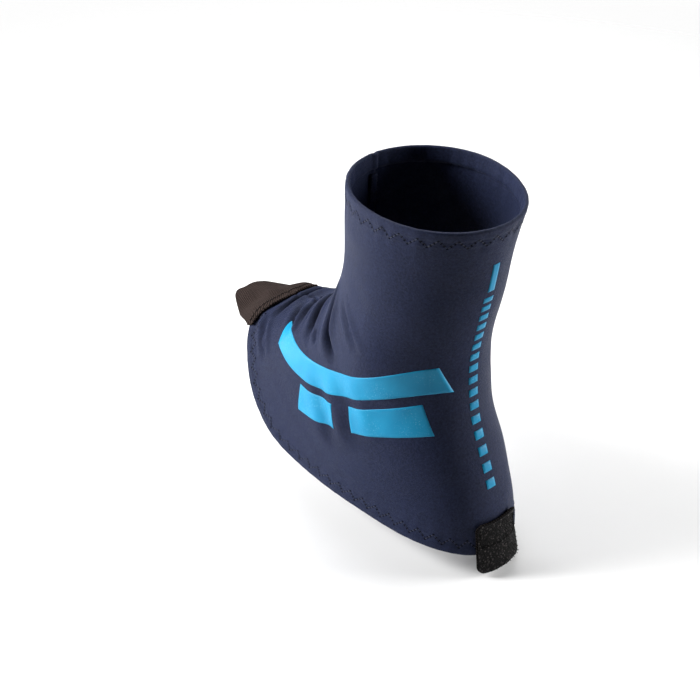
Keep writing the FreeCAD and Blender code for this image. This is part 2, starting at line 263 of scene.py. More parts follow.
def hem_relief(distance, seed, teeth):
    """The turned band, the sewn groove in it, and the small puckers that the elastic makes."""
    band = 0.40 * (1 - smooth((distance - HEM_DEPTH + 0.7) / 1.3))
    groove = -0.34 * np.exp(-(((distance - STITCH_FROM_EDGE) / 1.9) ** 4))
    chance = np.random.default_rng(seed)
    pucker = np.zeros_like(U)
    for share in (0.5, 0.83, 1.0, 1.37):
        phase = chance.uniform(0, 2 * math.pi)
        pucker = pucker + np.sin(2 * math.pi * round(teeth * share) * U + phase)
    reach = np.exp(-np.abs(distance - STITCH_FROM_EDGE) / 4.5)
    return band + groove + 0.085 * pucker * reach


TOP_TEETH = int(RING_LENGTH[0] / ZIGZAG_PITCH)
LOWER_TEETH = int(RING_LENGTH[-1] / ZIGZAG_PITCH)

# Each crease: its path, width, depth and ridge.
FOLDS = [
    # Where the knit bunches between the shin and the instep.
    ([(0.378, 0.668), (0.412, 0.646), (0.444, 0.637), (0.484, 0.656),
      (0.53, 0.656), (0.566, 0.64), (0.612, 0.652)], 2.2, 6.0, 1.5),
    ([(0.4, 0.395), (0.38, 0.47), (0.368, 0.53), (0.344, 0.558), (0.28, 0.58)], 2.5, 6.6, 1.9),
    ([(0.49, 0.832), (0.46, 0.783), (0.444, 0.775), (0.412, 0.778)], 1.8, 1.7, 0.9),
    ([(0.56, 0.716), (0.52, 0.738), (0.48, 0.733), (0.45, 0.724), (0.404, 0.738)], 1.7, 1.9, 1.1),
    ([(0.398, 0.616), (0.379, 0.622), (0.36, 0.626)], 1.2, 1.0, 0.3),
    ([(0.341, 0.386), (0.3, 0.422), (0.277, 0.438), (0.226, 0.494)], 1.8, 0.9, 1.1),
    ([(0.596, 0.42), (0.62, 0.49), (0.644, 0.545), (0.7, 0.585)], 2.6, 2.0, 1.3),
    ([(0.47, 0.585), (0.52, 0.575), (0.566, 0.588), (0.61, 0.61)], 2.0, 1.8, 1.1),
    ([(0.64, 0.43), (0.69, 0.47), (0.735, 0.52)], 2.2, 1.2, 0.9),
    # The pleat just behind the front hem with the flap above it, and long soft drags.
    ([(0.6, 0.885), (0.545, 0.868), (0.522, 0.893), (0.498, 0.886),
      (0.475, 0.884), (0.432, 0.905)], 1.8, 5.0, 1.6),
    ([(0.53, 0.752), (0.508, 0.742), (0.487, 0.735), (0.5, 0.812), (0.506, 0.872)], 1.1, 1.9, 1.3),
    ([(0.464, 0.925), (0.439, 0.918), (0.416, 0.902), (0.39, 0.898)], 1.6, 1.0, 1.2),
    ([(0.33, 0.64), (0.262, 0.73), (0.218, 0.84)], 4.0, 1.0, 0.8),
    ([(0.29, 0.58), (0.225, 0.66), (0.178, 0.79)], 4.5, 0.8, 0.6),
    ([(0.68, 0.65), (0.745, 0.74), (0.79, 0.85)], 4.2, 0.9, 0.7),
    ([(0.72, 0.56), (0.79, 0.64), (0.835, 0.76)], 4.5, 0.7, 0.5),
]

relief = hem_relief(FROM_TOP, 11, TOP_TEETH) + hem_relief(FROM_HEM, 12, LOWER_TEETH)
# Painted shade of all creases: how much the colour is darkened at each point of the surface.
CREASE_PAINTED_SHADE = np.zeros((ROWS, COLUMNS))
for crease in FOLDS:
    added, inside = fold(*crease)
    relief += added
    CREASE_PAINTED_SHADE = np.maximum(CREASE_PAINTED_SHADE, inside)
# A dent on the instep, and the two ankle bones.
relief += bump(0.512, 0.81, 5.0, -1.6)
relief += bump(0.215, 0.52, 15, 1.5) + bump(0.775, 0.49, 16, 1.8)
# The groove of the centre front seam, between two low welts.
from_seam = (U - 0.5) * girth(V)
relief += -0.45 * np.exp(-((from_seam / 0.75) ** 2)) + 0.16 * np.exp(-((np.abs(from_seam) - 2.4) ** 2))
inside_hems = smooth((FROM_TOP - 5) / 15) * smooth((FROM_HEM - 5) / 12)
relief += waves(21, 9, 28, 70, 0.24) + waves(22, 12, 9, 20, 0.035) * inside_hems

SURFACE = BASE + BASE_NORMALS * relief[..., None]
NORMALS = normals_of(SURFACE)

# The row (v) at a distance from each edge, for every column.
EDGE_STEP = 0.25
EDGE_REACH = 24.0
EDGE_DISTANCES = np.arange(0, EDGE_REACH + EDGE_STEP, EDGE_STEP)


def edge_table(distances, rows):
    return np.stack([np.interp(EDGE_DISTANCES, column, rows) for column in distances.T], axis=1)


TOP_ROWS = edge_table(FROM_TOP, V[:, 0])
HEM_ROWS = edge_table(FROM_HEM[::-1], V[::-1, 0])


def from_edge(u, distance, lower):
    """The v that lies a distance in from the lower hem, or from the top rim."""
    step = np.clip(distance, 0, EDGE_REACH - EDGE_STEP) / EDGE_STEP
    return between(HEM_ROWS if lower else TOP_ROWS, step, u)


def out_of(u, v):
    return unit(sample(NORMALS, u, v))


def place(u, v, lift):
    """Points on the creased surface, moved out by lift."""
    return sample(SURFACE, u, v) + out_of(u, v) * np.broadcast_to(lift, np.shape(v))[..., None]


# ---- meshes ----
def grid_faces(rows, columns, first=0, closed=False, flip=False):
    """Quads of a grid whose points are stored row by row."""
    i = np.arange(rows - 1)[:, None]
    j = np.arange(columns if closed else columns - 1)[None, :]
    a, b = i * columns + j, i * columns + (j + 1) % columns
    quads = np.stack([a, b, b + columns, a + columns], axis=-1).reshape(-1, 4) + first
    return quads[:, ::-1] if flip else quads


def slab(outer, inner):
    """Points and faces of a closed skin between two grids of points."""
    rows, columns = outer.shape[:2]
    count = rows * columns
    side = np.arange(rows - 1) * columns + columns - 1
    bottom = (rows - 1) * columns + np.arange(columns - 1, 0, -1)
    border = np.r_[np.arange(columns - 1), side, bottom, np.arange(rows - 1, 0, -1) * columns]
    following = np.roll(border, -1)
    sides = np.stack([following, border, border + count, following + count], axis=-1)
    faces = [grid_faces(rows, columns), grid_faces(rows, columns, count, flip=True), sides]
    return np.concatenate([outer.reshape(-1, 3), inner.reshape(-1, 3)]), np.concatenate(faces).tolist()


def merged(parts):
    """Several (points, faces) as one."""
    faces, start = [], 0
    for points, part_faces in parts:
        faces += [[i + start for i in face] for face in part_faces]
        start += len(points)
    return np.concatenate([points for points, _ in parts]), faces


def both_faces(flat):
    """Places on the flat cloth in metres, from millimetres, for the two faces of a slab."""
    return np.tile(flat.reshape(-1, 2) * MM, (2, 1))


def new_object(name, data):
    made = bpy.data.objects.new(name, data)
    scene.collection.objects.link(made)
    return made


def make(name, points, faces, material, uv=None):
    """A smooth mesh object from points in millimetres; uv gives one place per point, in metres."""
    mesh = bpy.data.meshes.new(name)
    faces = faces.tolist() if isinstance(faces, np.ndarray) else faces
    mesh.from_pydata((np.asarray(points).reshape(-1, 3) * MM).tolist(), [], faces)
    mesh.validate()
    if uv is not None:
        corners = np.empty(len(mesh.loops), np.int32)
        mesh.loops.foreach_get("vertex_index", corners)
        layer = mesh.uv_layers.new(name="cloth")
        layer.data.foreach_set("uv", np.asarray(uv, np.float32)[corners].ravel())
    mesh.polygons.foreach_set("use_smooth", [True] * len(mesh.polygons))
    mesh.materials.append(material)
    return new_object(name, mesh)


def add_attribute(piece, name, values):
    attribute = piece.data.attributes.new(name, "FLOAT", "POINT")
    attribute.data.foreach_set("value", np.asarray(values, np.float32).ravel())


def rods(lines, out, radius, sides=6):
    """Points and faces of tubes along many short lines (lines by steps by coordinates)."""
    count, steps, _ = lines.shape
    tangent = unit(np.gradient(lines, axis=1))
    across = unit(np.cross(tangent, np.broadcast_to(out[:, None, :], lines.shape)))
    upward = np.cross(across, tangent)
    angle = 2 * math.pi * np.arange(sides) / sides
    size = np.full(steps, radius)
    size[[0, -1]] *= 0.7
    ring = across[:, :, None, :] * np.cos(angle)[None, None, :, None]
    ring = ring + upward[:, :, None, :] * np.sin(angle)[None, None, :, None]
    points = lines[:, :, None, :] + ring * size[None, :, None, None]
    one = grid_faces(steps, sides, closed=True, flip=True)
    starts = (np.arange(count) * steps * sides)[:, None, None]
    faces = (one[None] + starts).reshape(-1, 4).tolist()
    first = np.arange(sides)[None, :] + starts[:, :, 0]
    last = first + (steps - 1) * sides
    faces += first.tolist() + last[:, ::-1].tolist()
    return points.reshape(-1, 3), faces


def stitch_lines(starts, stops, out, dip, rise):
    """Stitches that come up out of the cloth at one end and go back in at the other."""
    t = np.linspace(0, 1, 7)[None, :, None]
    arch = rise * np.sin(math.pi * t) ** 0.6 - dip * (1 - np.sin(math.pi * t) ** 0.35)
    return starts[:, None] * (1 - t) + stops[:, None] * t + out[:, None] * arch


# ---- materials ----
class Nodes:
    """Short calls to build a material's nodes."""

    def __init__(self, name, colour, roughness, **settings):
        self.material = bpy.data.materials.new(name)
        self.material.use_nodes = True
        self.tree = self.material.node_tree
        self.shader = self.tree.nodes["Principled BSDF"]
        self.material.diffuse_color = (*colour, 1)
        self.shader.inputs["Base Color"].default_value = (*colour, 1)
        self.shader.inputs["Roughness"].default_value = roughness
        for socket, value in settings.items():
            self.shader.inputs[socket.replace("_", " ")].default_value = value

    def node(self, kind, **settings):
        made = self.tree.nodes.new("ShaderNode" + kind)
        for key, value in settings.items():
            setattr(made, key, value)
        return made

    def link(self, source, target):
        self.tree.links.new(source, target)

    def math(self, operation, first, second=0.0, third=0.0):
        made = self.node("Math", operation=operation)
        for socket, value in zip(made.inputs, (first, second, third)):
            if isinstance(value, (int, float)):
                socket.default_value = value
            else:
                self.link(value, socket)
        return made.outputs[0]

    def times(self, first, second, plus=0.0):
        return self.math("MULTIPLY_ADD", first, second, plus)

    def cloth(self, wide, tall):
        """The flat cloth's two coordinates, in steps of so many metres."""
        mapping = self.node("Mapping")
        mapping.inputs["Scale"].default_value = (1 / wide, 1 / tall, 1)
        self.link(self.node("UVMap", uv_map="cloth").outputs[0], mapping.inputs["Vector"])
        split = self.node("SeparateXYZ")
        self.link(mapping.outputs[0], split.inputs[0])
        return split.outputs[0], split.outputs[1]

    def space(self):
        """The place inside the object, in metres."""
        return self.node("TexCoord").outputs["Object"]

    def attribute(self, name):
        return self.node("Attribute", attribute_name=name).outputs["Fac"]

    def noise(self, size, detail=2.0, roughness=0.5):
        """Noise from 0 to 1 whose grains are size metres across."""
        made = self.node("TexNoise")
        made.inputs["Scale"].default_value = 1 / size
        made.inputs["Detail"].default_value = detail
        made.inputs["Roughness"].default_value = roughness
        self.link(self.space(), made.inputs["Vector"])
        return self.ranged(made.outputs["Fac"], 0.3, 0.7, 0.0, 1.0)

    def ranged(self, value, from_low, from_high, low, high):
        made = self.node("MapRange")
        for socket, number in zip(list(made.inputs)[1:5], (from_low, from_high, low, high)):
            socket.default_value = number
        self.link(value, made.inputs[0])
        return made.outputs[0]

    def mix(self, share, first, second):
        """A colour between two others."""
        made = self.node("Mix", data_type="RGBA")
        sockets = [made.inputs[0], made.inputs[6], made.inputs[7]]
        for socket, value in zip(sockets, (share, first, second)):
            if isinstance(value, tuple):
                socket.default_value = (*value, 1)
            elif isinstance(value, float):
                socket.default_value = value
            else:
                self.link(value, socket)
        return made.outputs[2]

    def colour(self, value):
        self.link(value, self.shader.inputs["Base Color"])

    def roughness(self, value):
        self.link(value, self.shader.inputs["Roughness"])

    def relief(self, height, distance, strength=1.0):
        """Bump from a height between 0 and 1 that stands distance metres tall."""
        made = self.node("Bump")
        made.inputs["Distance"].default_value = distance
        made.inputs["Strength"].default_value = strength
        self.link(height, made.inputs["Height"])
        self.link(made.outputs[0], self.shader.inputs["Normal"])


WALE = 0.00048          # the knit's columns and rows of loops, in metres
COURSE = 0.00040
TWILL = 0.0014
SHEEN = 0.078
SHINE = 0.10
# Colours of painted shade: near-black navy for the knit's creases and needle holes, deep blue for the print
# in creases.
PAINTED_SHADE_COLOUR = (0.0012, 0.0016, 0.0040)
FILM_PAINTED_SHADE = (0.002, 0.06, 0.12)


def knit_height(nodes):
    """Columns of small V-shaped loops."""
    x, y = nodes.cloth(WALE, COURSE)
    in_column = nodes.math("FRACT", x)
    from_middle = nodes.math("ABSOLUTE", nodes.math("SUBTRACT", in_column, 0.5))
    rib = nodes.math("SINE", nodes.times(in_column, math.pi))
    loop = nodes.math("SINE", nodes.times(nodes.times(from_middle, 0.9, y), 2 * math.pi))
    return nodes.times(rib, nodes.times(loop, 0.3, 0.7))


def needle_holes(nodes):
    """1 at the ends of the zigzag's stitches along both hems, 0 elsewhere."""
    step = ZIGZAG_PITCH / STITCHES_PER_TOOTH
    rise = 4 * ZIGZAG_HALF / STITCHES_PER_TOOTH
    stitch = nodes.times(nodes.attribute("tooth"), float(STITCHES_PER_TOOTH))
    hole = nodes.math("ROUND", stitch)
    beside = nodes.times(nodes.math("SUBTRACT", stitch, hole), step)
    turned = nodes.math("PINGPONG", hole, float(STITCHES_PER_TOOTH // 2))
    level = nodes.times(turned, rise, STITCH_FROM_EDGE - ZIGZAG_HALF)
    above = nodes.math("SUBTRACT", nodes.attribute("edge"), level)
    squared = nodes.times(above, above, nodes.times(beside, beside))
    return nodes.ranged(nodes.math("SQRT", squared), 0.34, 0.74, 1.0, 0.0)


def knit_material():
    """Navy knit, with painted shade in its needle holes and deep creases."""
    tint = (0.58, 0.67, 1.0, 1)
    nodes = Nodes("navy_knit", (0.017, 0.022, 0.052), 0.58, Sheen_Roughness=0.28, Sheen_Tint=tint)
    height = knit_height(nodes)
    grain = nodes.noise(0.0010, 3.0, 0.7)
    cloudy = nodes.noise(0.018, 3.0, 0.55)
    tone = nodes.times(height, 0.35, nodes.times(grain, 0.65, nodes.times(cloudy, 0.12)))
    base = nodes.mix(tone, (0.0055, 0.0080, 0.0215), (0.0205, 0.0275, 0.0680))
    pit = needle_holes(nodes)
    painted_shade = nodes.attribute("painted_shade")
    # Painted shade: needle holes and deep creases turn near-black, and lose sheen and specular there.
    dark = nodes.math("MAXIMUM", nodes.times(pit, 0.95), nodes.times(painted_shade, 0.9))
    nodes.colour(nodes.mix(dark, base, PAINTED_SHADE_COLOUR))
    clear = nodes.math("SUBTRACT", 1.0, dark)
    nodes.link(nodes.times(clear, SHEEN), nodes.shader.inputs["Sheen Weight"])
    nodes.link(nodes.times(clear, SHINE), nodes.shader.inputs["Specular IOR Level"])
    nodes.roughness(nodes.ranged(cloudy, 0.0, 1.0, 0.54, 0.64))
    rough = nodes.times(grain, 1.2, nodes.times(height, 0.8))
    nodes.relief(nodes.math("SUBTRACT", rough, nodes.times(pit, 2.0)), 0.00010, 0.9)
    return nodes.material


def print_material():
    """Thin blue film, with a few worn specks, and painted shade where it lies in the creases."""
    nodes = Nodes("blue_film", (0.006, 0.26, 0.46), 0.45, Specular_IOR_Level=0.2)
    height = knit_height(nodes)
    specks = nodes.noise(0.0007, 2.0, 0.7)
    patchy = nodes.noise(0.012, 2.0, 0.5)
    speck = nodes.ranged(specks, 0.72, 1.0, 0.0, 1.0)
    worn = nodes.times(speck, nodes.ranged(patchy, 0.4, 0.9, 0.0, 0.55))
    base = nodes.mix(nodes.noise(0.009, 3.0, 0.5), (0.004, 0.205, 0.385), (0.007, 0.245, 0.44))
    worn_base = nodes.mix(worn, base, (0.14, 0.46, 0.62))
    # Painted shade: the film turns deeper blue inside the creases.
    nodes.colour(nodes.mix(nodes.times(nodes.attribute("painted_shade"), 0.7), worn_base, FILM_PAINTED_SHADE))
    nodes.roughness(nodes.ranged(patchy, 0.0, 1.0, 0.36, 0.50))
    nodes.relief(nodes.times(specks, 0.5, nodes.times(height, 0.5)), 0.00004, 0.7)
    return nodes.material


def tape_material(name, dark, light):
    """Woven nylon tape with a diagonal twill."""
    nodes = Nodes(name, light, 0.95, Specular_IOR_Level=0.04)
    x, y = nodes.cloth(TWILL, TWILL)
    diagonal = nodes.math("SINE", nodes.times(nodes.math("ADD", x, y), 2 * math.pi))
    crossing = nodes.math("SINE", nodes.times(nodes.math("SUBTRACT", x, y), 2 * math.pi))
    ribs, steps = nodes.times(diagonal, 0.5, 0.5), nodes.times(crossing, 0.5, 0.5)
    weave = nodes.times(ribs, nodes.times(steps, 0.6, 0.4))
    fuzz = nodes.noise(0.0007, 3.0, 0.7)
    tone = nodes.times(nodes.ranged(weave, 0.12, 0.8, 0.0, 1.0), 0.85, nodes.times(fuzz, 0.2))
    nodes.colour(nodes.mix(nodes.times(nodes.noise(0.007), 0.1, tone), dark, light))
    nodes.relief(nodes.times(fuzz, 0.3, weave), 0.00035, 1.0)
    return nodes.material


def plain_material(name, dark, light, roughness, grain, depth, **settings):
    """A finely mottled material for thread and elastic."""
    nodes = Nodes(name, light, roughness, **settings)
    fine = nodes.noise(grain, 3.0, 0.6)
    nodes.colour(nodes.mix(nodes.times(fine, 0.6, nodes.times(nodes.noise(grain * 9), 0.4)), dark, light))
    nodes.relief(fine, depth, 0.8)
    return nodes.material


def hook_material():
    """Black moulded hooks, with a painted highlight: a lighter speck on each hook's back."""
    nodes = Nodes("black_hooks", (0.012, 0.011, 0.011), 0.6, Specular_IOR_Level=0.15)
    cells = nodes.node("TexVoronoi")
    cells.inputs["Scale"].default_value = 1 / 0.0015
    nodes.link(nodes.space(), cells.inputs["Vector"])
    # Painted highlight on each hook's back; the same speck also raises the bump.
    speck = nodes.ranged(cells.outputs["Distance"], 0.18, 0.42, 1.0, 0.0)
    nodes.colour(nodes.mix(speck, (0.0010, 0.0009, 0.0010), (0.060, 0.052, 0.052)))
    nodes.relief(speck, 0.00035, 1.0)
    return nodes.material


KNIT = knit_material()
FILM = print_material()
FRONT_TAPE = tape_material("brown_black_tape", (0.0016, 0.0011, 0.0010), (0.060, 0.043, 0.039))
HEEL_TAPE = tape_material("black_tape", (0.003, 0.0028, 0.0028), (0.022, 0.019, 0.019))
HOOKS = hook_material()
THREAD = plain_material("navy_thread", (0.005, 0.008, 0.026), (0.012, 0.018, 0.055), 0.6, 0.0003, 0.00005)
TAB_THREAD = plain_material(
    "black_thread", (0.003, 0.003, 0.0032), (0.010, 0.009, 0.009), 0.8, 0.0003, 0.00005,
    Specular_IOR_Level=0.08,
)
ELASTIC = plain_material("elastic", (0.008, 0.011, 0.030), (0.018, 0.023, 0.055), 0.8, 0.0008, 0.0001)


# ---- the sleeve ----
NEAR_EDGE = [1.3, 1.9, 2.6, 3.3, 3.9, 4.4, 4.9, 5.4, 5.9, 6.4, 6.9, 7.4, 7.9, 8.4, 9.0, 9.8, 10.8]
MIDDLE_FROM_EDGE = 12.0
MIDDLE_ROWS = 124
SLEEVE_COLUMNS = 372
FAR_FROM_EDGE = 40.0    # stands for any place that has no needle holes


def end_rows(u, lower):
    """Rows of the right and of the wrong side: from a hem's raw end, round the fold, to the plain
    cloth. Each row is its v, its lift and its distance from the edge."""
    turned = (-2 * FOLD_OUTER, -FOLD_OUTER - FOLD_INNER)
    section = [(d, d, *turned) for d in (HEM_DEPTH, 6.2, 4.6, 3.0, 2.0)]
    for angle in np.linspace(math.pi, 0, 9):
        distances = [FOLD_OUTER - radius * math.sin(angle) for radius in (FOLD_OUTER, FOLD_INNER)]
        lifts = [-FOLD_OUTER + radius * math.cos(angle) for radius in (FOLD_OUTER, FOLD_INNER)]
        section.append((*distances, *lifts))
    right, wrong = [], []
    for d_right, d_wrong, lift_right, lift_wrong in section:
        seen = d_right if lift_right > -FOLD_OUTER else FAR_FROM_EDGE
        right.append((from_edge(u, d_right, lower), lift_right, seen))
        wrong.append((from_edge(u, d_wrong, lower), lift_wrong, FAR_FROM_EDGE))
    right += [(from_edge(u, d, lower), 0.0, d) for d in NEAR_EDGE]
    wrong += [(from_edge(u, d, lower), -FABRIC, FAR_FROM_EDGE) for d in NEAR_EDGE[3::3]]
    return right, wrong


def sleeve_rows(u):
    """All rows of both sides, from the top hem's raw end to the lower hem's."""
    first, last = from_edge(u, MIDDLE_FROM_EDGE, False), from_edge(u, MIDDLE_FROM_EDGE, True)
    # Rows lie closer together where the instep creases are.
    even = np.linspace(0, 1, MIDDLE_ROWS)
    crowd = even + 0.09 * np.sin(2 * math.pi * (even - 0.12))
    crowd = (crowd - crowd[0]) / (crowd[-1] - crowd[0])
    middle = [first + (last - first) * way for way in crowd]
    (right, wrong), (right_end, wrong_end) = end_rows(u, False), end_rows(u, True)
    right += [(v, 0.0, FAR_FROM_EDGE) for v in middle] + right_end[::-1]
    wrong += [(v, -FABRIC, FAR_FROM_EDGE) for v in middle[::3]] + wrong_end[::-1]
    return right, wrong


def sleeve():
    """One closed skin: the cloth's right side, its wrong side and the raw ends of both hems."""
    # The columns start at the centre front and lie closer together there.
    even = np.arange(SLEEVE_COLUMNS) / SLEEVE_COLUMNS
    share = even - 0.35 * np.sin(2 * math.pi * even) / (2 * math.pi)
    u = (0.5 + share) % 1.0
    right_rows, wrong_rows = sleeve_rows(u)
    right, wrong = [np.array([place(u, v, lift) for v, lift, _ in rows]) for rows in (right_rows, wrong_rows)]
    n, m, c = len(right), len(wrong), SLEEVE_COLUMNS
    j = np.arange(c)
    k = (j + 1) % c
    top, low, inner_low = n * c, (n - 1) * c, (n + m - 1) * c
    faces = [
        grid_faces(n, c, closed=True),
        grid_faces(m, c, first=top, closed=True, flip=True),
        np.stack([k, j, top + j, top + k], axis=-1),
        np.stack([low + j, low + k, inner_low + k, inner_low + j], axis=-1),
    ]
    points = np.concatenate([right.reshape(-1, 3), wrong.reshape(-1, 3)])
    piece = make("sleeve", points, np.concatenate(faces), KNIT)

    # Flat cloth coordinates, with their join at the centre front.
    down, round_leg = [], []
    for side in (right, wrong):
        down.append(run(side, 0).ravel() * MM)
        length = np.linalg.norm(np.roll(side, -1, axis=1) - side, axis=-1).sum(axis=1)
        round_leg.append(np.repeat(length * MM, c))
    corners = np.empty(len(piece.data.loops), np.int32)
    piece.data.loops.foreach_get("vertex_index", corners)
    corners = corners.reshape(-1, 4)
    shares = np.tile(share, n + m)[corners]
    crossing = np.ptp(shares, axis=1)[:, None] > 0.5
    across = (shares + (crossing & (shares < 0.5))) * np.concatenate(round_leg)[corners]
    uv = np.stack([across, np.concatenate(down)[corners]], axis=-1)
    layer = piece.data.uv_layers.new(name="cloth")
    layer.data.foreach_set("uv", uv.astype(np.float32).ravel())

    # For the material's needle holes, and the painted shade that darkens the deep creases.
    plain = np.zeros(m * c)
    teeth = np.where(np.arange(n) < n // 2, TOP_TEETH, LOWER_TEETH)[:, None] * share
    edges = np.repeat([edge for _, _, edge in right_rows + wrong_rows], c)
    row_painted_shades = np.array([sample(CREASE_PAINTED_SHADE, u, v) for v, _, _ in right_rows])
    add_attribute(piece, "edge", edges)
    add_attribute(piece, "tooth", np.concatenate([teeth.ravel(), plain]))
    add_attribute(piece, "painted_shade", np.concatenate([row_painted_shades.ravel(), plain]))
    return piece


SLEEVE = sleeve()


# ---- the hem seams ----
def sewn_row(u, v, lift, dip, rise, radius):
    """Points and faces of a row of stitches between points on the sleeve."""
    at, out = place(u, v, lift), out_of(u, v)
    lines = stitch_lines(at[:-1], at[1:], (out[:-1] + out[1:]) / 2, dip, rise)
    return rods(lines, out[:-1], radius)


def hem_zigzag(name, lower):
    """A three-step zigzag: short stitches that sink into the cloth at each needle hole."""
    count = STITCHES_PER_TOOTH * (LOWER_TEETH if lower else TOP_TEETH)
    holes = np.arange(count + 1)
    half = STITCHES_PER_TOOTH // 2
    turned = np.abs((holes + half) % (2 * half) - half)
    distance = STITCH_FROM_EDGE - ZIGZAG_HALF + 2 * ZIGZAG_HALF * turned / half
    u = 0.5 + holes / count
    return make(name, *sewn_row(u, from_edge(u, distance, lower), 0.0, 0.30, 0.06, 0.15), THREAD)


ELASTIC_COLUMNS = 400
ELASTIC_EDGES = (1.7, 3.8, 5.9)    # distances from the hem's edge
ELASTIC_LIFTS = (-0.68, -1.24)


def elastic_band(name, lower):
    """The flat elastic inside a hem, as one closed ring."""
    u = np.arange(ELASTIC_COLUMNS) / ELASTIC_COLUMNS
    section = [(d, ELASTIC_LIFTS[0]) for d in ELASTIC_EDGES]
    section += [(d, ELASTIC_LIFTS[1]) for d in ELASTIC_EDGES[::-1]]
    rings = [place(u, from_edge(u, distance, lower), lift) for distance, lift in section]
    faces = grid_faces(len(section) + 1, ELASTIC_COLUMNS, closed=True)
    return make(name, np.concatenate(rings), faces % (len(section) * ELASTIC_COLUMNS), ELASTIC)


TOP_ZIGZAG = hem_zigzag("top_zigzag_thread", False)
LOWER_ZIGZAG = hem_zigzag("lower_zigzag_thread", True)
TOP_ELASTIC = elastic_band("top_elastic_band", False)
LOWER_ELASTIC = elastic_band("lower_elastic_band", True)


# ---- prints ----
PRINT_HIGH = 0.20
PRINT_EDGE = 0.05
PRINT_LOW = -0.12
# Side prints: a sagging path through three (u, v) places, and the height in v.
STRIPE_SLANT = 0.09
LONG_STRIPE = ((0.425, 0.80), (0.24, 0.52), (0.055, 0.56))
LONG_STRIPE_WIDTH = 0.078
SIDE_BLOCKS = ((0.325, 0.775), (0.20, 0.66), (0.075, 0.665))
SIDE_BLOCK_WIDTH = 0.085
# Back bars: the tall one and the small ones, as height in v and half a width in millimetres.
TALL_BAR = (0.11, 1.8)
SMALL_BAR = (0.02, 2.6)
CLEAR_OF_JOINS = 0.012
JOINS = (0.36, 0.50)


def printed(name, grids):
    """A thin film over grids of (u, v) on the sleeve, as one object."""
    parts, flats, painted_shades = [], [], []
    for u, v in grids:
        lift = np.full(u.shape, PRINT_HIGH)
        lift[[0, -1], :] = PRINT_EDGE
        lift[:, [0, -1]] = PRINT_EDGE
        parts.append(slab(place(u, v, lift), place(u, v, PRINT_LOW)))
        flats.append(both_faces(np.stack([((u - 0.5) % 1.0) * girth(v), sample(DOWN, u, v)], axis=-1)))
        # The painted shade of the creases, carried onto the film.
        painted_shades.append(np.tile(sample(CREASE_PAINTED_SHADE, u, v).ravel(), 2))
    piece = make(name, *merged(parts), FILM, np.concatenate(flats))
    add_attribute(piece, "painted_shade", np.concatenate(painted_shades))
    return piece


def inset(count):
    """Shares from 0 to 1 with a narrow first and last step, for a crisp rounded edge."""
    return np.r_[0.0, np.linspace(0.02, 0.98, count), 1.0]


def stripe(low, high, path, width):
    """A slanted bar between two shares of a sagging path."""
    (u0, v0), (u1, v1), (u2, v2) = path
    t = inset(14)[:, None]
    s = inset(max(int(420 * (high - low) * abs(u0 - u2)), 12))[None, :]
    share = low + (high - low) * s + STRIPE_SLANT * (t - 0.5)
    first, middle, last = (1 - share) ** 2, 2 * share * (1 - share), share**2
    u = first * u0 + middle * u1 + last * u2
    v = first * v0 + middle * v1 + last * v2 + width * (t - 0.5)
    return u[:, ::-1], v[:, ::-1]


def bar(v, height, half_width):
    """A bar across the centre back."""
    t = inset(max(int(height * 210), 3))[:, None]
    rows = v + height * (t - 0.5)
    u = (2 * inset(5)[None, :] - 1) * half_width / girth(rows)
    return u, rows + 0 * u


BAR_ROWS = [v for v in np.linspace(0.30, 0.84, 16) if min(abs(v - join) for join in JOINS) > CLEAR_OF_JOINS]
SIDE_PRINT = printed("side_stripe_print", [stripe(0.0, 1.0, LONG_STRIPE, LONG_STRIPE_WIDTH)])
BLOCK_PRINT = printed(
    "side_block_print",
    [stripe(*ends, SIDE_BLOCKS, SIDE_BLOCK_WIDTH) for ends in ((0.02, 0.32), (0.44, 0.98))],
)
BACK_PRINT = printed("back_bar_print", [bar(0.21, *TALL_BAR)] + [bar(v, *SMALL_BAR) for v in BAR_ROWS])


# ---- the centre front seam ----
def seam_allowance():
    """The pressed allowance inside the sleeve, with rounded edges."""
    v = np.linspace(0.085, 0.905, 150)[:, None]
    s = np.linspace(-1, 1, 9)[None, :]
    u = 0.5 + 2.0 * s / girth(v)
    v = v + 0 * s
    points, faces = slab(place(u, v, -0.90), place(u, v, -1.35 - 0.5 * (1 - s**4)))
    flat = both_faces(np.stack([2 * s + 0 * v, sample(DOWN, u, v)], axis=-1))
    return make("front_seam_allowance", points, faces, KNIT, flat)


def seam_overlock():
    """Loops of thread over the allowance's two raw edges and across it."""
    v = np.arange(0.09, 0.90, 0.0125)
    out = -out_of(np.full(len(v), 0.5), v)
    lines = []
    for side in (-1, 1):
        start = place(0.5 + side * 2.1 / girth(v), v, -1.2)
        stop = place(0.5 - side * 1.9 / girth(v), v + 0.006, -1.95)
        lines.append(stitch_lines(start, stop, out, 0.0, 0.25))
    points, faces = rods(np.concatenate(lines), np.concatenate([out, out]), 0.16, sides=5)
    return make("front_seam_thread", points, faces, THREAD)


SEAM = seam_allowance()
SEAM_THREAD = seam_overlock()


# ---- hook tabs ----
HINGE_Y = FRONT_Y[-1] - 1.4
HINGE_Z = FRONT_Z[-1] - 0.4
TAPE = 0.9
TAB_LENGTH = 29.0
TAB_BASE = 21.0
TAB_TIP = 10.0
TAB_SIDE = 6.0          # how far the tab's base sits to the outer side of the centre
TAB_CORNER = 2.5
TAB_SLOPE = math.radians(17)
TAB_ARCH = 34.0
TAB_SEWN = 9.5
TAB_LIFT = 0.75         # lift of the tape's middle where it is sewn on


def tab_half(s):
    """Half the front tab's width at a share of its free length, with rounded corners."""
    to_tip = (1 - s) * TAB_LENGTH
    over = np.clip(1 - to_tip / TAB_CORNER, 0, 1)
    return TAB_BASE + (TAB_TIP - TAB_BASE) * s - TAB_CORNER * (1 - np.sqrt(1 - over**2))


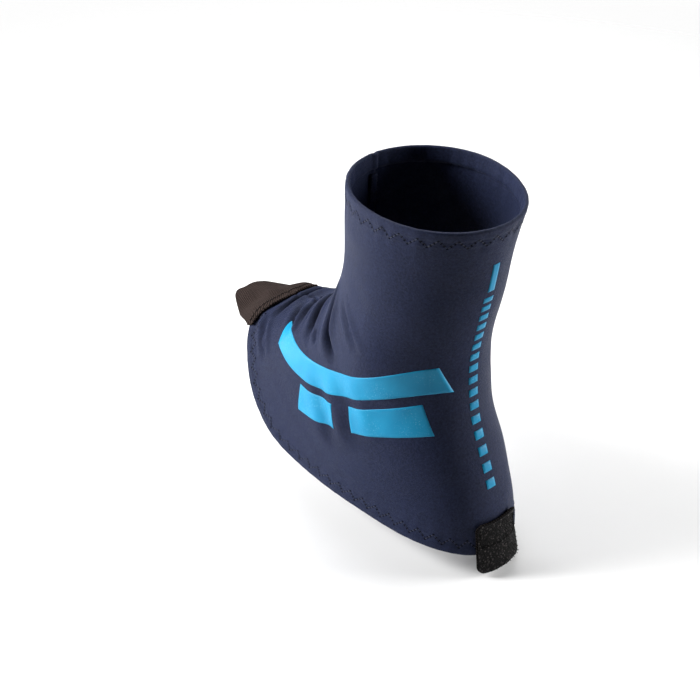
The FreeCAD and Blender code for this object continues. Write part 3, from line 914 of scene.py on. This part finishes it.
def tab_free(s, x, depth):
    """The free part's points; x runs from -1 to 1 across it."""
    wide = x * tab_half(s) + TAB_SIDE * (1 - s)
    bow = wide**2 / (2 * TAB_ARCH)
    y = HINGE_Y - s * TAB_LENGTH * math.cos(TAB_SLOPE) + 0.45 * bow * (1 - s)
    z = HINGE_Z - s * TAB_LENGTH * math.sin(TAB_SLOPE) - bow
    # A crease over the instep's crest, and a shallow dent beside it.
    crease = 1.5 * np.exp(-(((wide - 3.0 - 5 * s) / 3.2) ** 2)) * smooth(s * 4)
    dent = -1.7 * np.exp(-(((wide - 11.0) / 5.5) ** 2 + ((s - 0.45) / 0.33) ** 2))
    ripple = 0.5 * np.sin(wide * 0.33 + 2.0 * s) * s
    return np.stack([MIDDLE_X[-1] + wide, y, z + crease + dent + ripple + depth], axis=-1)


def tab_u(x):
    return 0.5 - (TAB_SIDE + x * TAB_BASE) / RING_LENGTH[-1]


def tab_reach(x):
    """How far up the hem the sewn end goes: well up on the inner side, less on the outer."""
    return TAB_SEWN - 5.5 * smooth((x - 0.1) / 0.9)


def tab_points(s, x, depth):
    """The free part, bent so that it starts at the hem's edge, over the fold."""
    hem_line = place(tab_u(x), np.ones_like(x), TAB_LIFT)
    start = hem_line - tab_free(np.zeros_like(x), x, np.zeros_like(x))
    return tab_free(s, x, depth) + start * (1 - smooth(s / 0.45))[..., None]


def thinned(level, high, ends):
    """A face of a tape, brought nearer to the other face along the tape's borders."""
    level[ends] -= high * TAPE * 0.3
    level[:, [0, -1]] -= high * TAPE * 0.25
    return level


def front_tape():
    """Sewn end and free part as one tape."""
    x = np.r_[-1.0, np.linspace(-0.985, 0.985, 55), 1.0][None, :]
    sewn = np.array([1.0, 0.98, 0.90, 0.80, 0.70, 0.60, 0.50, 0.40, 0.30, 0.19, 0.09])[:, None]
    free = np.r_[np.linspace(0.0, 0.97, 46), 0.985, 1.0][:, None]
    u = tab_u(x) + 0 * sewn
    v = from_edge(u, sewn * tab_reach(x), True)
    curl = 0.5 * smooth((sewn - 0.8) * 5) * (1 + 0.6 * np.sin(x * 7.0))
    grids = []
    for high in (1, -1):
        upper = place(u, v, thinned(TAB_LIFT + curl + high * TAPE / 2, high, [0]))
        depth = thinned(np.full((len(free), x.shape[1]), high * TAPE / 2), high, [-1])
        grids.append(np.concatenate([upper, tab_points(free + 0 * x, x + 0 * free, depth)])[:, ::-1])
    wide = np.concatenate([x * TAB_BASE + 0 * sewn, x * tab_half(free)])[:, ::-1]
    flat = both_faces(np.stack([wide, run((grids[0] + grids[1]) / 2, 0)], axis=-1))
    return make("front_tab_tape_piece", *slab(*grids), FRONT_TAPE, flat)


def hook_layer(name, top, low, base, out, lean, height):
    """A thin moulded backing with small hooks on it: stems that rise and bend over."""
    rise = height * np.array([0.0, 0.45, 0.85, 1.0, 0.86])[None, :, None]
    bend = height * np.array([0.0, 0.02, 0.18, 0.42, 0.62])[None, :, None]
    lines = base[:, None] + out[:, None] * rise + lean[:, None] * bend
    hooks = rods(lines, unit(np.cross(lean, out)), 0.14, sides=5)
    return make(name, *merged([slab(top, low), hooks]), HOOKS)


def front_hooks():
    """The hook side, under the free part."""
    x, s = np.meshgrid(np.linspace(0.9, -0.9, 33), np.linspace(0.16, 0.95, 24))
    top, low = [tab_points(s, x, np.full(s.shape, -TAPE / 2 - deep)) for deep in (0.02, 0.45)]
    cells_x, cells_s = np.meshgrid(np.linspace(-0.86, 0.86, 27), np.arange(0.18, 0.94, 0.040))
    cells_x[1::2] += 0.016
    at = tab_points(cells_s, cells_x, np.full(cells_s.shape, -TAPE / 2 - 0.4)).reshape(-1, 3)
    out = np.tile([[0.0, 0.0, -1.0]], (len(at), 1))
    lean = np.tile([[0.0, 1.0, 0.0]], (len(at), 1))
    lean[::2] *= -1
    return hook_layer("front_tab_hook_side", top, low, at, out, lean, 0.75)


def front_stitches():
    """Two rows through the sewn end."""
    x = np.linspace(-0.93, 0.93, 18)
    levels = [from_edge(tab_u(x), share * tab_reach(x), True) for share in (0.36, 0.84)]
    rows = [sewn_row(tab_u(x), v, 1.22, 0.28, 0.2, 0.2) for v in levels]
    return make("front_tab_thread", *merged(rows), TAB_THREAD)


HEEL_HALF = 12.5
HEEL_TOP = 17.0
HEEL_BELOW = 9.0
HEEL_CORNER = 3.5
HEEL_LIFT = 1.0


def heel_points(distance, x, lift):
    """Points of the heel tab: on the sleeve above the hem's edge, straight on below it."""
    u = x / RING_LENGTH[-1]
    on = place(u, from_edge(u, np.maximum(distance, 0.0), True), lift)
    down = unit(sample(SURFACE, u, np.ones_like(u)) - sample(SURFACE, u, np.full_like(u, 0.97)))
    return on + down * np.maximum(-distance, 0.0)[..., None]


def heel_outline(distances, columns, trim=0.0):
    """Distance and x over the tab, with rounded corners at both ends."""
    distances = distances[:, None]
    to_end = np.minimum(HEEL_TOP - distances, distances + HEEL_BELOW)
    over = np.clip(1 - to_end / HEEL_CORNER, 0, 1)
    half = HEEL_HALF - trim - HEEL_CORNER * (1 - np.sqrt(1 - over**2))
    x = np.r_[-1.0, np.linspace(-0.98, 0.98, columns - 2), 1.0] * half
    return distances + 0 * x, x


def heel_level(distances, x):
    """Lift of the tab's middle; its upper corners stand off where nothing sews them down."""
    near_top = smooth((distances - HEEL_TOP + 4.5) / 4.5)
    return HEEL_LIFT + near_top * (0.35 + 1.3 * (np.abs(x) / HEEL_HALF) ** 3)


def heel_tape():
    middle = np.linspace(HEEL_TOP - 0.8, -8.3, 36)
    d, x = heel_outline(np.r_[HEEL_TOP, HEEL_TOP - 0.2, middle, -8.8, -HEEL_BELOW], 41)
    faces = [thinned(heel_level(d, x) + high * TAPE / 2, high, [0, -1]) for high in (1, -1)]
    skin = slab(*[heel_points(d, x, lift) for lift in faces])
    return make("heel_tab_tape_piece", *skin, HEEL_TAPE, both_faces(np.stack([x, -d], axis=-1)))


def heel_hooks():
    """Moulded hooks on the outside of the heel tab."""
    d, x = heel_outline(np.linspace(HEEL_TOP - 0.8, -8.2, 32), 35, trim=0.9)
    top, low = [heel_points(d, x, heel_level(d, x) + TAPE / 2 + high) for high in (0.45, 0.02)]
    cells_x, cells_d = np.meshgrid(np.arange(-10.4, 10.5, 1.30), np.arange(-7.6, HEEL_TOP - 1.0, 1.25))
    cells_x[1::2] += 0.65
    cells_x, cells_d = cells_x.ravel(), cells_d.ravel()
    at = heel_points(cells_d, cells_x, heel_level(cells_d, cells_x) + TAPE / 2 + 0.40)
    u = cells_x / RING_LENGTH[-1]
    out = out_of(u, from_edge(u, np.maximum(cells_d, 0), True))
    lean = unit(np.cross(out, np.tile([[1.0, 0.0, 0.0]], (len(at), 1))))
    lean[::2] *= -1
    return hook_layer("heel_tab_hook_side", top, low, at, out, lean, 0.85)


def heel_stitches():
    """A rectangle of stitches round the sewn part."""
    side = (HEEL_HALF - 2.0) / RING_LENGTH[-1]
    rows = [(np.linspace(-side, side, 10), np.full(10, d)) for d in (4.5, HEEL_TOP - 1.5)]
    rows += [(np.full(5, u), np.linspace(5.3, HEEL_TOP - 2.3, 5)) for u in (-side, side)]
    lift = HEEL_LIFT + TAPE / 2 + 0.5
    seams = [sewn_row(u, from_edge(u, d, True), lift, 0.28, 0.25, 0.2) for u, d in rows]
    return make("heel_tab_thread", *merged(seams), TAB_THREAD)


FRONT_TAPE_PIECE = front_tape()
FRONT_HOOKS = front_hooks()
FRONT_THREAD = front_stitches()
HEEL_TAPE_PIECE = heel_tape()
HEEL_HOOKS = heel_hooks()
HEEL_THREAD = heel_stitches()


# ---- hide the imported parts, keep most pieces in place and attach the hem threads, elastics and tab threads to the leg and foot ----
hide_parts("leg_fabric", "ankle_fabric", "foot_fabric", "top_hem", "lower_hem")
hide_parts("top_hem_zigzag")
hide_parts("lower_hem_zigzag")
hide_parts("top_elastic")
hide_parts("lower_elastic")
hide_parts("side_stripe")
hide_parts("side_blocks")
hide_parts("back_bars_leg", "back_bars_ankle", "back_bars_foot")
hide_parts("front_seam_leg", "front_seam_ankle", "front_seam_foot")
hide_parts("front_tab_sewn_end", "front_tab_tape")
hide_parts("front_tab_hooks")
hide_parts("front_tab_stitches")
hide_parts("heel_tab_sewn_tape", "heel_tab_tape")
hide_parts("heel_tab_sewn_hooks", "heel_tab_hooks")
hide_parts("heel_tab_stitches")

for piece in (SLEEVE, SIDE_PRINT, BLOCK_PRINT, BACK_PRINT, SEAM, SEAM_THREAD):
    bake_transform(piece)
for piece in (FRONT_TAPE_PIECE, FRONT_HOOKS):
    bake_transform(piece)
for piece in (HEEL_TAPE_PIECE, HEEL_HOOKS):
    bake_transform(piece)
for piece in (TOP_ZIGZAG, TOP_ELASTIC):
    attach(piece, "leg")
for piece in (LOWER_ZIGZAG, LOWER_ELASTIC, FRONT_THREAD, HEEL_THREAD):
    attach(piece, "foot")


# ---- floor, light and camera ----
AZIMUTH = math.radians(139.25)
ELEVATION = math.radians(35.22)
ROLL = math.radians(0.77)
CAMERA_PLACE = Vector((0.3642, 0.3690, 0.2808))
CENTRE = (CAD_LOW + CAD_HIGH) / 2
FLOOR_FADE = (0.40, 0.75)   # where the floor starts and ends to fade into the surroundings
WORLD_FAR = 0.04            # strength of the light from behind the object, and from the camera's side
WORLD_NEAR = 0.0

TOWARDS = Vector((math.sin(AZIMUTH), -math.cos(AZIMUTH), 0))
TO_CAMERA = TOWARDS * math.cos(ELEVATION) + Vector((0, 0, math.sin(ELEVATION)))
RIGHT = Vector((math.cos(AZIMUTH), math.sin(AZIMUTH), 0))
UP = TO_CAMERA.cross(RIGHT)


def camera():
    across = RIGHT * math.cos(ROLL) + UP * math.sin(ROLL)
    upward = UP * math.cos(ROLL) - RIGHT * math.sin(ROLL)
    data = bpy.data.cameras.new("camera")
    data.lens = 72
    data.clip_start = 0.05
    eye = new_object("camera", data)
    turned = Matrix((across, upward, TO_CAMERA)).transposed().to_4x4()
    eye.matrix_world = Matrix.Translation(CAMERA_PLACE) @ turned
    scene.camera = eye


def area_light(name, direction, distance, size, power):
    """A soft square light that looks at the object's centre."""
    data = bpy.data.lights.new(name, "AREA")
    data.shape = "RECTANGLE"
    data.size, data.size_y = size
    data.energy = power
    data.spread = math.radians(110)
    lamp = new_object(name, data)
    direction = direction.normalized()
    lamp.location = CENTRE + direction * distance
    lamp.rotation_mode = "QUATERNION"
    lamp.rotation_quaternion = (-direction).to_track_quat("-Z", "Y")


def world():
    """Even pale surroundings, dimmer on the side that the front lights would stand on."""
    studio = bpy.data.worlds.new("studio")
    studio.use_nodes = True
    new, link = studio.node_tree.nodes.new, studio.node_tree.links.new
    background = studio.node_tree.nodes["Background"]
    background.inputs["Color"].default_value = (1, 1, 1, 1)
    facing = new("ShaderNodeVectorMath")
    facing.operation = "DOT_PRODUCT"
    facing.inputs[1].default_value = TO_CAMERA
    link(new("ShaderNodeTexCoord").outputs["Generated"], facing.inputs[0])
    shade = new("ShaderNodeMapRange")
    for socket, number in zip(list(shade.inputs)[1:5], (-0.2, 0.8, WORLD_FAR, WORLD_NEAR)):
        socket.default_value = number
    link(facing.outputs["Value"], shade.inputs[0])
    choose = new("ShaderNodeMix")
    choose.inputs[3].default_value = 1.0
    link(new("ShaderNodeLightPath").outputs["Is Camera Ray"], choose.inputs[0])
    link(shade.outputs[0], choose.inputs[2])
    link(choose.outputs[0], background.inputs["Strength"])
    scene.world = studio


def floor():
    mesh = bpy.data.meshes.new("floor")
    half, z = 2.0 * FLOOR_FADE[1], CAD_LOW.z - 0.001
    corners = [(-half, -half, z), (half, -half, z), (half, half, z), (-half, half, z)]
    mesh.from_pydata(corners, [], [(0, 1, 2, 3)])
    nodes = Nodes("floor", (0.88, 0.88, 0.88), 0.9)
    nodes.colour(nodes.mix(nodes.noise(0.05, 3.0, 0.5), (0.87, 0.87, 0.87), (0.89, 0.89, 0.89)))
    away = nodes.node("VectorMath", operation="LENGTH")
    nodes.link(nodes.space(), away.inputs[0])
    nodes.link(nodes.ranged(away.outputs["Value"], *FLOOR_FADE, 1.0, 0.0), nodes.shader.inputs["Alpha"])
    mesh.materials.append(nodes.material)
    new_object("floor", mesh)


camera()
world()
floor()
area_light("left", -RIGHT - TOWARDS * 0.05 + Vector((0, 0, 0.38)), 0.9, (0.32, 0.6), 8.0)
area_light("right", RIGHT - TOWARDS * 0.09 + Vector((0, 0, 0.22)), 0.9, (0.3, 0.6), 3.8)
area_light("top", Vector((0, 0, 1)) - TOWARDS, 1.1, (0.9, 0.9), 5.2)
scene.view_settings.view_transform = "Standard"
scene.view_settings.look = "None"
